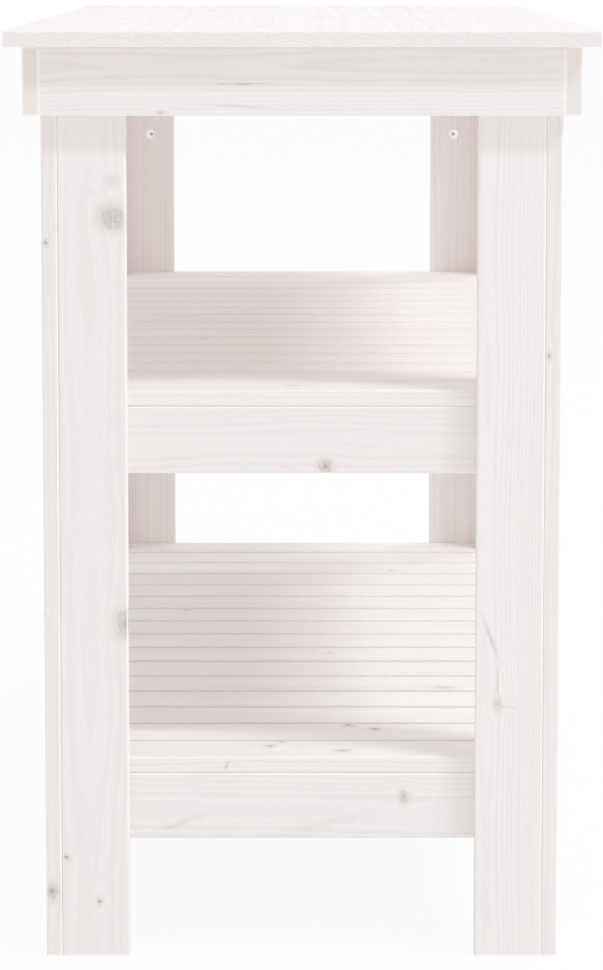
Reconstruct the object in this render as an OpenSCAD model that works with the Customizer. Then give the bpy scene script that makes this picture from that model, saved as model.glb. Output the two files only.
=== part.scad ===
// A long, narrow workbench of white-washed pine boards, with two slatted shelves.
// X runs along the bench, Y across it and Z up. The origin is on the floor, under its middle.
// Near and far are the ends at +X and -X, and left and right are the sides at -Y and +Y.

/* [Worktop] */
// Length of the worktop
top_l = 1105; // [900:5:1500]
// Width of the worktop
top_w = 500; // [400:5:700]
// Thickness of the glued worktop panel
top_t = 14; // [12:1:28]
// Height of the worktop's upper face above the floor
bench_h = 800; // [700:5:950]
// Distance that the worktop stands out past the apron frame on every side
overhang = 15; // [5:1:40]
// Radius of the worktop's softened edges
top_edge_r = 2; // [1:0.5:4]

/* [Apron frame] */
// Height of the aprons
apron_h = 58; // [50:1:90]
// Thickness of the aprons
apron_t = 14; // [12:1:20]
// Width of the cross battens under the worktop
batten_w = 58; // [45:1:80]
// Thickness of the cross battens
batten_t = 14; // [12:1:20]
// Distance from the middle of the bench to the middle of each batten
batten_x = 190; // [120:5:280]

/* [Legs] */
// Width of the two boards that make each leg
leg_w = 58; // [50:1:80]
// Thickness of the leg boards
leg_t = 14; // [12:1:20]

/* [Shelves] */
// Height of the upper shelf's upper face
upper_shelf_z = 492; // [440:1:560]
// Height of the lower shelf's upper face
lower_shelf_z = 172; // [110:1:240]
// Height of the rails and stretchers that carry the slats
rail_h = 58; // [50:1:80]
// Thickness of the rails and stretchers
rail_t = 14; // [12:1:20]
// Width of a slat
slat_w = 58; // [40:1:90]
// Thickness of a slat
slat_t = 14; // [12:1:20]
// Narrowest gap allowed between two slats
slat_gap_min = 5; // [3:0.5:12]
// Clearance between a slat's end and the leg beside it
slat_end_gap = 0.5; // [0.3:0.1:2]

/* [Boards] */
// Radius of the long edges of every board and slat
edge_r = 2; // [1:0.5:4]

/* [Screws] */
// Diameter of a wood screw's shank
screw_d = 4; // [3:0.5:5]
// Diameter of a wood screw's countersunk head
screw_head_d = 8; // [6:0.5:9]
// Height of a wood screw's head
screw_head_h = 2.8; // [2:0.1:4]
// Width across a wood screw's hexagon socket, corner to corner
screw_socket_d = 3.2; // [2:0.1:3.6]
// Wood left in front of the tip of a screw that joins two boards face to face
screw_cover = 3; // [2:0.5:4]
// Length of a slat screw inside the rail
slat_screw_bite = 16; // [10:1:20]
// Length of an apron screw inside the end grain that it enters
end_grain_bite = 31; // [20:1:40]
// Distance from a board's edge to its nearest row of screws
screw_edge = 14; // [10:1:18]
// Distance from the bench's long centre line to the inner screws of a batten
batten_screw_y = 55; // [30:5:80]
// Distance from the bench's long centre line to the outer screws of a batten
batten_screw_end_y = 150; // [110:5:160]

/* [Leg bolts] */
// Diameter of the bolts that pull the two boards of a leg together
bolt_d = 6; // [5:0.5:7]
// Diameter of a bolt's countersunk head
bolt_head_d = 12; // [10:0.5:14]
// Height of a bolt's head
bolt_head_h = 3.4; // [3:0.1:5]
// Width across a bolt's hexagon socket, corner to corner
bolt_socket_d = 4.6; // [3:0.1:5.4]
// Length of a bolt past the middle of its barrel nut
bolt_past_nut = 4; // [3:0.5:10]
// Distance from the outer edge of a leg's end board to the middle of its barrel nuts
nut_inset = 32; // [26:1:36]
// Diameter of a barrel nut
nut_d = 12; // [10:0.5:14]
// Length of a barrel nut
nut_l = 12; // [8:0.5:12]
// Diameter of the dimple in a barrel nut's visible end
nut_dimple_d = 3.6; // [2.5:0.1:5]
// Depth of that dimple
nut_dimple_depth = 2; // [1:0.1:3]
// Height of the upper bolt in each leg
upper_bolt_z = 652; // [580:1:660]
// Height of the lower bolt in each leg
lower_bolt_z = 300; // [260:1:340]

/* [Fits] */
// Radial clearance between a screw, bolt or barrel nut and its hole
hole_fit = 0.1; // [0.05:0.05:0.3]

/* [Hidden] */
$fn = 48;

pine = [0.93, 0.90, 0.88];
steel = [0.74, 0.73, 0.72];

// Outline of the apron frame, and the faces inside it that the legs stand against
frame_l = top_l - 2 * overhang;
frame_w = top_w - 2 * overhang;
leg_face_x = frame_l / 2 - apron_t;
leg_face_y = frame_w / 2 - apron_t;
leg_h = bench_h - top_t;
apron_z = leg_h - apron_h;

// The shelves fill the space inside the legs
shelf_l = 2 * (leg_face_x - leg_t);
shelf_w = 2 * (leg_face_y - leg_t);
rail_l = shelf_l - 2 * rail_t;

// As many slats as fit with the narrowest gap, then spread evenly from end to end
slats = floor((shelf_l + slat_gap_min) / (slat_w + slat_gap_min));
slat_pitch = (shelf_l - slat_w) / (slats - 1);

// Screw and bolt lengths
apron_to_leg_l = leg_t + apron_t - screw_cover;
rail_to_leg_l = rail_t + leg_t - screw_cover;
batten_to_top_l = batten_t + top_t - screw_cover;
slat_screw_l = slat_t + slat_screw_bite;
apron_screw_l = apron_t + end_grain_bite;
bolt_l = leg_t + nut_inset + bolt_past_nut;

// A head has a straight rim before it narrows to the shank, and a tip ends in a small flat
head_rim = 0.4;
tip_flat_d = 1;
screw_tip_l = 5;
bolt_tip_l = 1;
screw_socket_depth = 1.8;
bolt_socket_depth = 3;
// Height that every cutter stands past the face it opens
cut_past = 1;

// The upper row of rail screws stays clear of the slat screws that come down from above
row_clear = 8;

// Places of the screws, bolts and barrel nuts in the leg boards
end_board_y = shelf_w / 2 - leg_w / 2;
nut_y = shelf_w / 2 - nut_inset;
bolt_x = leg_face_x - leg_t / 2;
leg_screw_x = (leg_face_x - leg_w + shelf_l / 2) / 2;
rail_screw_x = (leg_face_x - leg_w + rail_l / 2) / 2;

ENDS = [["near", 1], ["far", -1]];
SIDES = [["left", -1], ["right", 1]];
SHELVES = [["upper", upper_shelf_z], ["lower", lower_shelf_z]];
CORNERS = [for (e = ENDS, s = SIDES) [str(e[0], "_", s[0]), e[1], s[1]]];

function rail_z(shelf) = shelf[1] - slat_t - rail_h;
function slat_x(i) = (i - (slats - 1) / 2) * slat_pitch;
function stretcher_name(shelf, end) = str(shelf[0], "_shelf_", end[0], "_stretcher");
function rail_name(shelf, side) = str(shelf[0], "_shelf_", side[0], "_rail");
function slat_name(shelf, i) = str(shelf[0], "_slat_", i < 9 ? "0" : "", i + 1);

// A rectangle with round corners, centred on the origin
module round_rect(w, h, r) {
    square([w - 2 * r, h], center = true);
    square([w, h - 2 * r], center = true);
    for (x = [-1, 1], y = [-1, 1])
        translate([x * (w / 2 - r), y * (h / 2 - r)]) circle(r);
}

// Boards with their long edges rounded, given by their size along X, Y and Z.
// Each is centred in X and Y, and stands on its lower face.
module board_along_x(l, w, h) {
    translate([-l / 2, 0, h / 2]) rotate([90, 0, 90]) linear_extrude(l) round_rect(w, h, edge_r);
}

module board_along_y(w, l, h) {
    translate([0, l / 2, h / 2]) rotate([90, 0, 0]) linear_extrude(l) round_rect(w, h, edge_r);
}

module board_along_z(w, t, h) {
    linear_extrude(h) round_rect(w, t, edge_r);
}

// A countersunk screw or bolt: its head is flush with z = 0 and it runs down from there.
// With a fit and a rise it is the hole for that screw, open upwards.
module countersunk(l, d, head_d, head_h, tip_l, fit = 0, rise = 0) {
    rotate_extrude()
        polygon([
            [0, rise],
            [head_d / 2 + fit, rise],
            [head_d / 2 + fit, -head_rim],
            [d / 2 + fit, -head_h - fit],
            [d / 2 + fit, -l + tip_l],
            [tip_flat_d / 2, -l - fit],
            [0, -l - fit]
        ]);
}

// The hexagon socket in a head, cut down from z = 0
module socket(d, depth) {
    translate([0, 0, -depth]) cylinder(h = depth + cut_past, d = d, $fn = 6);
}

module wood_screw(l) {
    difference() {
        countersunk(l, screw_d, screw_head_d, screw_head_h, screw_tip_l);
        socket(screw_socket_d, screw_socket_depth);
    }
}

module screw_hole(l) {
    countersunk(l, screw_d, screw_head_d, screw_head_h, screw_tip_l, hole_fit, cut_past);
}

module leg_bolt() {
    difference() {
        countersunk(bolt_l, bolt_d, bolt_head_d, bolt_head_h, bolt_tip_l);
        socket(bolt_socket_d, bolt_socket_depth);
    }
}

module bolt_hole() {
    countersunk(bolt_l, bolt_d, bolt_head_d, bolt_head_h, bolt_tip_l, hole_fit, cut_past);
}

// Places for fasteners. Each module sets its child's head at the right place, pointing into the wood.
// Corner places are for the near right corner, and are mirrored to the others.
module in_corner(c) {
    mirror([c[1] < 0 ? 1 : 0, 0, 0]) mirror([0, c[2] < 0 ? 1 : 0, 0]) children();
}

module at_apron_rows() {
    for (z = [screw_edge, apron_h - screw_edge]) translate([0, 0, apron_z + z]) children();
}

module at_side_apron_screws() {
    at_apron_rows() translate([leg_screw_x, shelf_w / 2, 0]) rotate([90, 0, 0]) children();
}

module at_end_apron_screws() {
    at_apron_rows() translate([shelf_l / 2, end_board_y, 0]) rotate([0, -90, 0]) children();
}

module at_stretcher_screws(shelf) {
    for (z = [screw_edge, rail_h - screw_edge])
        translate([rail_l / 2, end_board_y, rail_z(shelf) + z]) rotate([0, -90, 0]) children();
}

module at_rail_screws(shelf) {
    for (z = [rail_z(shelf) + screw_edge, shelf[1] - slat_screw_l - row_clear])
        translate([rail_screw_x, shelf_w / 2 - rail_t, z]) rotate([90, 0, 0]) children();
}

module at_leg_bolts() {
    for (z = [lower_bolt_z, upper_bolt_z])
        translate([bolt_x, leg_face_y, z]) rotate([-90, 0, 0]) children();
}

module at_barrel_nuts() {
    for (z = [lower_bolt_z, upper_bolt_z])
        translate([shelf_l / 2, nut_y, z]) rotate([0, 90, 0]) children();
}

module at_apron_corner_screws() {
    at_apron_rows() translate([frame_l / 2 - apron_t / 2, frame_w / 2, 0]) rotate([-90, 0, 0]) children();
}

module at_batten_end_screws() {
    translate([batten_x, frame_w / 2, leg_h - batten_t / 2]) rotate([-90, 0, 0]) children();
}

module at_batten_screws() {
    for (y = [batten_screw_y, batten_screw_end_y])
        translate([batten_x, y, leg_h - batten_t]) rotate([180, 0, 0]) children();
}

module at_slat_screws(shelf, i) {
    for (y = [-1, 1]) translate([slat_x(i), y * (shelf_w / 2 - rail_t / 2), shelf[1]]) children();
}

// Worktop and the frame under it
module tabletop() {
    color(pine) difference() {
        intersection() {
            translate([0, top_w / 2, bench_h - top_t / 2]) rotate([90, 0, 0])
                linear_extrude(top_w) round_rect(top_l, top_t, top_edge_r);
            translate([-top_l / 2, 0, bench_h - top_t / 2]) rotate([90, 0, 90])
                linear_extrude(top_l) round_rect(top_w, top_t, top_edge_r);
        }
        for (c = CORNERS) in_corner(c) at_batten_screws() screw_hole(batten_to_top_l);
    }
}

module batten(end) {
    color(pine) difference() {
        translate([end[1] * batten_x, 0, leg_h - batten_t])
            board_along_y(batten_w, 2 * leg_face_y, batten_t);
        for (s = SIDES) in_corner(["", end[1], s[1]]) {
            at_batten_screws() screw_hole(batten_to_top_l);
            at_batten_end_screws() screw_hole(apron_screw_l);
        }
    }
}

module side_apron(side) {
    color(pine) difference() {
        translate([0, side[1] * (frame_w - apron_t) / 2, apron_z])
            board_along_x(frame_l, apron_t, apron_h);
        for (e = ENDS) in_corner(["", e[1], side[1]]) {
            at_side_apron_screws() screw_hole(apron_to_leg_l);
            at_apron_corner_screws() screw_hole(apron_screw_l);
            at_batten_end_screws() screw_hole(apron_screw_l);
        }
    }
}

module end_apron(end) {
    color(pine) difference() {
        translate([end[1] * (frame_l - apron_t) / 2, 0, apron_z])
            board_along_y(apron_t, frame_w - 2 * apron_t, apron_h);
        for (s = SIDES) in_corner(["", end[1], s[1]]) {
            at_end_apron_screws() screw_hole(apron_to_leg_l);
            at_apron_corner_screws() screw_hole(apron_screw_l);
        }
    }
}

// Legs: a side board whose edge shows at the end of the bench, and an end board set inside it
module leg_side_board(corner) {
    color(pine) in_corner(corner) difference() {
        translate([leg_face_x - leg_w / 2, leg_face_y - leg_t / 2, 0])
            board_along_z(leg_w, leg_t, leg_h);
        at_side_apron_screws() screw_hole(apron_to_leg_l);
        for (h = SHELVES) at_rail_screws(h) screw_hole(rail_to_leg_l);
        at_leg_bolts() bolt_hole();
    }
}

module leg_end_board(corner) {
    color(pine) in_corner(corner) difference() {
        translate([leg_face_x - leg_t / 2, end_board_y, 0]) board_along_z(leg_t, leg_w, leg_h);
        at_end_apron_screws() screw_hole(apron_to_leg_l);
        for (h = SHELVES) at_stretcher_screws(h) screw_hole(rail_to_leg_l);
        at_leg_bolts() bolt_hole();
        at_barrel_nuts() translate([0, 0, -cut_past])
            cylinder(h = cut_past + nut_l + hole_fit, r = nut_d / 2 + hole_fit);
    }
}

// Shelves: two stretchers and two rails make a frame between the legs, and the slats lie on it
module stretcher(shelf, end) {
    color(pine) difference() {
        translate([end[1] * (shelf_l - rail_t) / 2, 0, rail_z(shelf)])
            board_along_y(rail_t, shelf_w, rail_h);
        for (s = SIDES) in_corner(["", end[1], s[1]]) at_stretcher_screws(shelf) screw_hole(rail_to_leg_l);
    }
}

module rail(shelf, side) {
    color(pine) difference() {
        translate([0, side[1] * (shelf_w - rail_t) / 2, rail_z(shelf)])
            board_along_x(rail_l, rail_t, rail_h);
        for (e = ENDS) in_corner(["", e[1], side[1]]) at_rail_screws(shelf) screw_hole(rail_to_leg_l);
        for (i = [0 : slats - 1]) at_slat_screws(shelf, i) screw_hole(slat_screw_l);
    }
}

module slat(shelf, i) {
    color(pine) difference() {
        translate([slat_x(i), 0, shelf[1] - slat_t])
            board_along_y(slat_w, shelf_w - 2 * slat_end_gap, slat_t);
        at_slat_screws(shelf, i) screw_hole(slat_screw_l);
    }
}

// Fasteners
module leg_bolts() {
    color(steel) for (c = CORNERS) in_corner(c) at_leg_bolts() leg_bolt();
}

module leg_barrel_nuts() {
    color(steel) for (c = CORNERS) in_corner(c) difference() {
        at_barrel_nuts() difference() {
            cylinder(h = nut_l, d = nut_d);
            translate([0, 0, -cut_past]) cylinder(h = nut_dimple_depth + cut_past, d = nut_dimple_d);
        }
        at_leg_bolts() bolt_hole();
    }
}

module frame_screws() {
    color(steel) for (c = CORNERS) in_corner(c) {
        at_side_apron_screws() wood_screw(apron_to_leg_l);
        at_end_apron_screws() wood_screw(apron_to_leg_l);
        for (h = SHELVES) {
            at_stretcher_screws(h) wood_screw(rail_to_leg_l);
            at_rail_screws(h) wood_screw(rail_to_leg_l);
        }
        at_batten_screws() wood_screw(batten_to_top_l);
    }
}

module apron_screws() {
    color(steel) for (c = CORNERS) in_corner(c) {
        at_apron_corner_screws() wood_screw(apron_screw_l);
        at_batten_end_screws() wood_screw(apron_screw_l);
    }
}

module slat_screws() {
    color(steel) for (h = SHELVES, i = [0 : slats - 1]) at_slat_screws(h, i) wood_screw(slat_screw_l);
}

tabletop();
for (e = ENDS) {
    batten(e);
    end_apron(e);
}
for (s = SIDES) {
    side_apron(s);
}
for (c = CORNERS) {
    leg_side_board(c);
    leg_end_board(c);
}
for (h = SHELVES, e = ENDS) {
    stretcher(h, e);
}
for (h = SHELVES, s = SIDES) {
    rail(h, s);
}
for (h = SHELVES, i = [0 : slats - 1]) {
    slat(h, i);
}
leg_bolts();
leg_barrel_nuts();
frame_screws();
apron_screws();
slat_screws();
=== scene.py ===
# %% [markdown]
# # A workbench of white-washed pine
#
# The bench is a long, narrow one: 1105 mm by 500 mm and 800 mm high, of planed pine boards 14 mm thick,
# with two slatted shelves under a glued worktop. Every board comes from the CAD model already, in metres and
# in place, so no board has to be made or changed. This lesson is about what the model still lacks: the wood,
# the white wash on it, the steel of the fasteners, and a studio to see them in. Loading the frame gives one
# Blender object for each board and for each kind of fastener.

# %% Load the bench from its CAD frame
import math
import random

import bpy
from mathutils import Euler, Matrix, Vector


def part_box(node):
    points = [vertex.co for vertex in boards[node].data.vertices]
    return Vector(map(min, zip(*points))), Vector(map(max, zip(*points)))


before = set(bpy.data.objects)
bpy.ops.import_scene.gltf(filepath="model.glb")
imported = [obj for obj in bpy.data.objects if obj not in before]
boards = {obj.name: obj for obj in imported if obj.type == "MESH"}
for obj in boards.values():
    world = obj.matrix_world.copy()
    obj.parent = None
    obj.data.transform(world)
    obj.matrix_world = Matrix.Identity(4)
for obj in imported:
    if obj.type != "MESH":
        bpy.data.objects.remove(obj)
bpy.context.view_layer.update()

scene = bpy.context.scene
print("nodes in the frame:", len(boards))

# %% [markdown]
# ## The camera
#
# The picture looks at one end of the bench from about 2.8 m away, a little above the worktop, so the
# worktop shows as a thin wedge and the shelves show from above. A real product camera is held level and its
# lens is shifted, which keeps upright legs upright. A strong shift would push the bench out of every other
# view, so here a part of the shift is replaced by a small tilt downwards.

# %% Aim the camera at the end of the bench
CAMERA_PLACE = (3.2881, 0.0006, 0.8726)
CAMERA_TILT = math.radians(5.728)
CAMERA_TURN = math.radians(-0.022)
LONG_LENS_MM = 121.64
LENS_SHIFT = -0.22

camera_data = bpy.data.cameras.new("bench camera")
camera_data.sensor_width = 36.0
camera_data.lens = LONG_LENS_MM
camera_data.shift_y = LENS_SHIFT
camera = bpy.data.objects.new("bench camera", camera_data)
camera.location = CAMERA_PLACE
camera.rotation_euler = (math.pi / 2 - CAMERA_TILT, 0.0, math.pi / 2 - CAMERA_TURN)
scene.collection.objects.link(camera)
scene.camera = camera
scene.view_settings.view_transform = "Standard"

# %% [markdown]
# ## Helpers for node trees
#
# A material is a tree of nodes, and building one in code repeats the same few moves: add a node, feed its
# sockets, take its result. The helpers below do just that, so each later cell can read like the finish that
# it describes. A socket takes either another socket or a plain number.

# %% Small helpers that add nodes and feed them
def add_node(tree, kind, label, **settings):
    """Adds one node, labels it in plain words and applies its settings."""
    node = tree.nodes.new(kind)
    node.label = label
    for name, value in settings.items():
        setattr(node, name, value)
    return node


def feed(tree, socket, value):
    """Gives a socket its value, which is another socket or plain numbers."""
    if isinstance(value, bpy.types.NodeSocket):
        tree.links.new(value, socket)
    else:
        socket.default_value = value


def maths(tree, operation, *values, clamp=False):
    """One Math node, and its result."""
    node = add_node(tree, "ShaderNodeMath", operation.lower(), operation=operation, use_clamp=clamp)
    for socket, value in zip(node.inputs, values):
        feed(tree, socket, value)
    return node.outputs[0]


def vector_maths(tree, operation, *values):
    """One Vector Math node, and its result."""
    node = add_node(tree, "ShaderNodeVectorMath", operation.lower(), operation=operation)
    for socket, value in zip(node.inputs, values):
        feed(tree, socket, value)
    return node.outputs["Value"] if operation == "LENGTH" else node.outputs["Vector"]


def rise(tree, value, low, high):
    """0 below low, 1 above high, and a smooth step between them."""
    node = add_node(tree, "ShaderNodeMapRange", "rise", interpolation_type="SMOOTHSTEP")
    for name, number in (("Value", value), ("From Min", low), ("From Max", high)):
        feed(tree, node.inputs[name], number)
    return node.outputs["Result"]


def fall(tree, value, low, high):
    """1 below low, 0 above high, and a smooth step between them."""
    return maths(tree, "SUBTRACT", 1.0, rise(tree, value, low, high))


print("helpers ready: add_node, feed, maths, vector_maths, rise, fall")

# %% [markdown]
# Two more helpers make texture. Wood changes slowly along the grain and quickly across it, so the noise
# helper takes the size of its blotches in millimetres in each direction and stretches the noise to fit.

# %% Helpers for stretched noise, mixed colours and node groups
def grain_noise(tree, vector, size_mm, detail=2.0, output=0):
    """Noise whose blotches measure size_mm along, across and through the board."""
    stretched = vector_maths(tree, "DIVIDE", vector, size_mm)
    node = add_node(tree, "ShaderNodeTexNoise", "noise, blotches of %s mm" % (size_mm,))
    node.inputs["Scale"].default_value = 1.0
    node.inputs["Detail"].default_value = detail
    feed(tree, node.inputs["Vector"], stretched)
    return node.outputs[output]


def mix_colour(tree, amount, first, second):
    """The first colour where amount is 0, the second where it is 1."""
    node = add_node(tree, "ShaderNodeMix", "mix", data_type="RGBA")
    colours = [socket for socket in node.inputs if socket.type == "RGBA"]
    feed(tree, node.inputs[0], amount)
    feed(tree, colours[0], first)
    feed(tree, colours[1], second)
    return next(socket for socket in node.outputs if socket.type == "RGBA")


def start_group(name, inputs, outputs):
    """An empty node group with named sockets, and its two end nodes."""
    tree = bpy.data.node_groups.new(name, "ShaderNodeTree")
    for side, sockets in (("INPUT", inputs), ("OUTPUT", outputs)):
        for socket_name, kind in sockets.items():
            tree.interface.new_socket(name=socket_name, in_out=side, socket_type="NodeSocket" + kind)
    return tree, tree.nodes.new("NodeGroupInput"), tree.nodes.new("NodeGroupOutput")


def use_group(tree, group, **values):
    """Places a node group in a tree and feeds its sockets by name."""
    node = add_node(tree, "ShaderNodeGroup", group.name, node_tree=group)
    for name, value in values.items():
        feed(tree, node.inputs[name.replace("_", " ")], value)
    return node


print("helpers ready: grain_noise, mix_colour, start_group, use_group")

# %% [markdown]
# ## The studio
#
# The bench is nearly white and stands on white, so plain light matters more than bright light. A pale world
# lights it from all round, and two long strip lamps give the shadows. Both hang high on the right, one in
# front of the bench and a weaker one behind it. A strip is narrow one way and long the other, so the shadow
# of the worktop's end is crisp, while the shadow across the shelves fades slowly. What the camera and the
# metal see of the world is plain white at strength 1.
#
# A picture of a real studio, wrapped round the scene, could light the bench as well. But it would tint the
# white wood, and its lamps couldn't be moved one by one until the shadows fall as they should.
#
# Light also goes from board to board: a shelf under a white worktop gets much of its light at the fourth or
# fifth bounce, and the usual four bounces leave it too grey. Ten are enough.

# %% Light from all round, with a white background
AMBIENT_LEVEL = 0.790
BOUNCES = 10

scene.cycles.diffuse_bounces = BOUNCES

world = bpy.data.worlds.new("studio world")
scene.world = world
world.use_nodes = True
world_tree = world.node_tree
world_tree.nodes.clear()


def seen_directly(tree):
    """1 for what the camera, a reflection or clear glass sees, and 0 for light on a surface."""
    rays = add_node(tree, "ShaderNodeLightPath", "which ray is this")
    shown = maths(tree, "MAXIMUM", rays.outputs["Is Camera Ray"], rays.outputs["Is Glossy Ray"])
    return maths(tree, "MAXIMUM", shown, rays.outputs["Is Transmission Ray"])


background = add_node(world_tree, "ShaderNodeBackground", "pale studio")
background.inputs["Color"].default_value = (1.0, 1.0, 1.0, 1.0)
strength = add_node(world_tree, "ShaderNodeMapRange", "white when seen, softer as light")
feed(world_tree, strength.inputs["Value"], seen_directly(world_tree))
strength.inputs["To Min"].default_value = AMBIENT_LEVEL
strength.inputs["To Max"].default_value = 1.0
feed(world_tree, background.inputs["Strength"], strength.outputs["Result"])
world_output = add_node(world_tree, "ShaderNodeOutputWorld", "world")
world_tree.links.new(background.outputs["Background"], world_output.inputs["Surface"])
print("ambient light:", AMBIENT_LEVEL, "of plain white,", BOUNCES, "bounces")

# %% Two long strip lamps, high on the right
BENCH_MIDDLE = Vector((0.0, 0.0, 0.50))
LAMP_DISTANCE = 7.5
STRIP_TINT = (0.935, 1.0, 1.065)


def strip_lamp(title, towards, width, length, light):
    """A strip lamp that faces the bench. White wood square to it would render at the value of light."""
    back = Vector(towards).normalized()
    narrow = Vector((0.0, 1.0, 0.0)).cross(back).normalized()
    along = back.cross(narrow)
    data = bpy.data.lights.new(title, "AREA")
    data.shape = "RECTANGLE"
    data.size = width
    data.size_y = length
    data.color = STRIP_TINT
    data.energy = light * math.pi**2 * LAMP_DISTANCE**2
    lamp = bpy.data.objects.new(title, data)
    lamp.location = BENCH_MIDDLE + LAMP_DISTANCE * back
    lamp.rotation_euler = Matrix((narrow, along, back)).transposed().to_euler()
    lamp.visible_camera = False
    scene.collection.objects.link(lamp)
    print(title, "at", [round(side, 2) for side in lamp.location], "with", round(data.energy), "W")


KEY_TOWARDS = (0.50, 0.80, 1.0)
BACK_TOWARDS = (-0.87, 0.80, 1.0)
strip_lamp("key lamp", KEY_TOWARDS, width=0.42, length=2.7, light=0.292)
strip_lamp("back lamp", BACK_TOWARDS, width=0.42, length=1.8, light=0.10)

# %% [markdown]
# The floor is a plain pale disc. It is matt, so it throws light back on the undersides of the bench. In the
# picture it is almost pure white, so to the camera it is mostly a white glow and a part of it is the lit
# floor, which is enough to keep the shadow that the bench stands in. More light on a plain floor would make
# it white too, but the bench would lose its own colours in that light.

# %% A pale floor that keeps the shadow
import bmesh

FLOOR_RADIUS = 30.0
FLOOR_PALE = 0.93
GLOW_SHARE = 0.90

floor_mesh = bpy.data.meshes.new("studio floor")
disc = bmesh.new()
bmesh.ops.create_circle(disc, cap_ends=True, radius=FLOOR_RADIUS, segments=96)
disc.to_mesh(floor_mesh)
disc.free()
floor = bpy.data.objects.new("studio_floor", floor_mesh)
scene.collection.objects.link(floor)

floor_paint = bpy.data.materials.new("pale floor")
floor_paint.use_nodes = True
floor_tree = floor_paint.node_tree
floor_tree.nodes.clear()
matt = add_node(floor_tree, "ShaderNodeBsdfDiffuse", "matt floor")
matt.inputs["Color"].default_value = (FLOOR_PALE, FLOOR_PALE, FLOOR_PALE, 1.0)
glow = add_node(floor_tree, "ShaderNodeEmission", "white where seen")
glow.inputs["Strength"].default_value = 1.0
floor_mix = add_node(floor_tree, "ShaderNodeMixShader", "shadow under the glow")
share = maths(floor_tree, "MULTIPLY", seen_directly(floor_tree), GLOW_SHARE)
feed(floor_tree, floor_mix.inputs[0], share)
floor_tree.links.new(matt.outputs[0], floor_mix.inputs[1])
floor_tree.links.new(glow.outputs[0], floor_mix.inputs[2])
floor_output = add_node(floor_tree, "ShaderNodeOutputMaterial", "floor")
floor_tree.links.new(floor_mix.outputs[0], floor_output.inputs["Surface"])
floor_mesh.materials.append(floor_paint)
print("floor:", len(floor_mesh.polygons), "face,", FLOOR_RADIUS, "m in radius")

# %% [markdown]
# ## Which way the grain runs
#
# Grain always runs along the length of a board, so every board needs a space of its own: x along the board,
# y across it and z through its thickness, in millimetres from its middle. The box of a board tells all of
# this, because its longest side is its length and its shortest is its thickness. A Mapping node then turns
# the object's coordinates into the board's. There are six ways that a board can lie, and six turns.
#
# The boards could be unwrapped instead and painted flat. But a pattern in space runs right through a board,
# so the grain on a face meets the grain on the edge, as it does in solid wood.

# %% Find the way each board lies
TURNS = {
    "xyz": (0, 0, 0),
    "xzy": (-90, 0, 0),
    "yxz": (0, 0, -90),
    "yzx": (0, -90, -90),
    "zyx": (0, 90, 0),
    "zxy": (90, 0, 90),
}
MM = 1000.0


def lie_of(name):
    """Middle of the board in metres, the turn into its own space, and its half size there in mm."""
    low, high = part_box(name)
    size = high - low
    order = sorted((0, 1, 2), key=lambda axis: -size[axis])
    letters = "".join("xyz"[axis] for axis in order)
    turn = Euler([math.radians(angle) for angle in TURNS[letters]])
    half = [MM * size[axis] / 2 for axis in order]
    return (low + high) / 2, turn, half


def on_board(name, place_mm):
    """A place in the room, in mm, as a place in the board's own space."""
    middle, turn, half = lie_of(name)
    return turn.to_matrix() @ (Vector(place_mm) - MM * middle)


for sample in ("tabletop", "near_end_apron", "near_left_leg_end_board", "upper_slat_01"):
    print(sample, "half size along, across, through:", [round(side, 1) for side in lie_of(sample)[2]])

# %% A Mapping node for the board's own space
def board_space(tree, name):
    """The board's own coordinates in mm, from its object coordinates."""
    middle, turn, half = lie_of(name)
    coordinates = add_node(tree, "ShaderNodeTexCoord", "place on the bench")
    mapping = add_node(tree, "ShaderNodeMapping", "board's own space, mm")
    mapping.inputs["Scale"].default_value = (MM, MM, MM)
    mapping.inputs["Rotation"].default_value = turn
    mapping.inputs["Location"].default_value = -(turn.to_matrix() @ (MM * middle))
    tree.links.new(coordinates.outputs["Object"], mapping.inputs["Vector"])
    return mapping.outputs["Vector"]


print("board_space ready")

# %% [markdown]
# ## Growth rings
#
# A tree grows in rings round its pith. Each ring starts with pale early wood and ends in a narrow, darker
# line of late wood. A board is a flat cut through those rings, and where the pith lies under the board
# decides whether the cut shows straight lines or tall arches.
#
# A Wave texture draws stripes quickly, but they never close to arches. So the group works as the tree does.
# It measures the distance to a pith that wanders a little, divides it by the width of a ring, and takes
# what is left after the whole rings.

# %% Node group: growth rings, fibres and clouds
SEED_STEP_MM = (913.0, 57.0, 31.0)
PITH_WANDER_MM = (0.0, 16.0, 11.0)
WANDER_SIZE_MM = (310.0, 900.0, 900.0)
RIPPLE_SIZE_MM = (85.0, 9.0, 9.0)
RIPPLE_MM = 2.2

rings, rings_in, rings_out = start_group(
    "Growth rings",
    {"Vector": "Vector", "Seed": "Float", "Pith": "Vector", "Ring width": "Float"},
    {"Late wood": "Float", "Fibre": "Float", "Fleck": "Float", "Cloud": "Float"},
)
own = rings_in.outputs
shift = vector_maths(rings, "SCALE", SEED_STEP_MM)
feed(rings, shift.node.inputs["Scale"], own["Seed"])
place = vector_maths(rings, "ADD", own["Vector"], shift)
drift = grain_noise(rings, place, WANDER_SIZE_MM, detail=1.5, output=1)
drift = vector_maths(rings, "SUBTRACT", drift, (0.5, 0.5, 0.5))
drift = vector_maths(rings, "MULTIPLY", drift, PITH_WANDER_MM)
from_pith = vector_maths(rings, "SUBTRACT", own["Vector"], own["Pith"])
from_pith = vector_maths(rings, "ADD", from_pith, drift)
from_pith = vector_maths(rings, "MULTIPLY", from_pith, (0.0, 1.0, 1.0))
distance = vector_maths(rings, "LENGTH", from_pith)
ripple = maths(rings, "MULTIPLY", grain_noise(rings, place, RIPPLE_SIZE_MM), RIPPLE_MM)
distance = maths(rings, "ADD", distance, ripple)
ring_count = maths(rings, "DIVIDE", distance, own["Ring width"])
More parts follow.
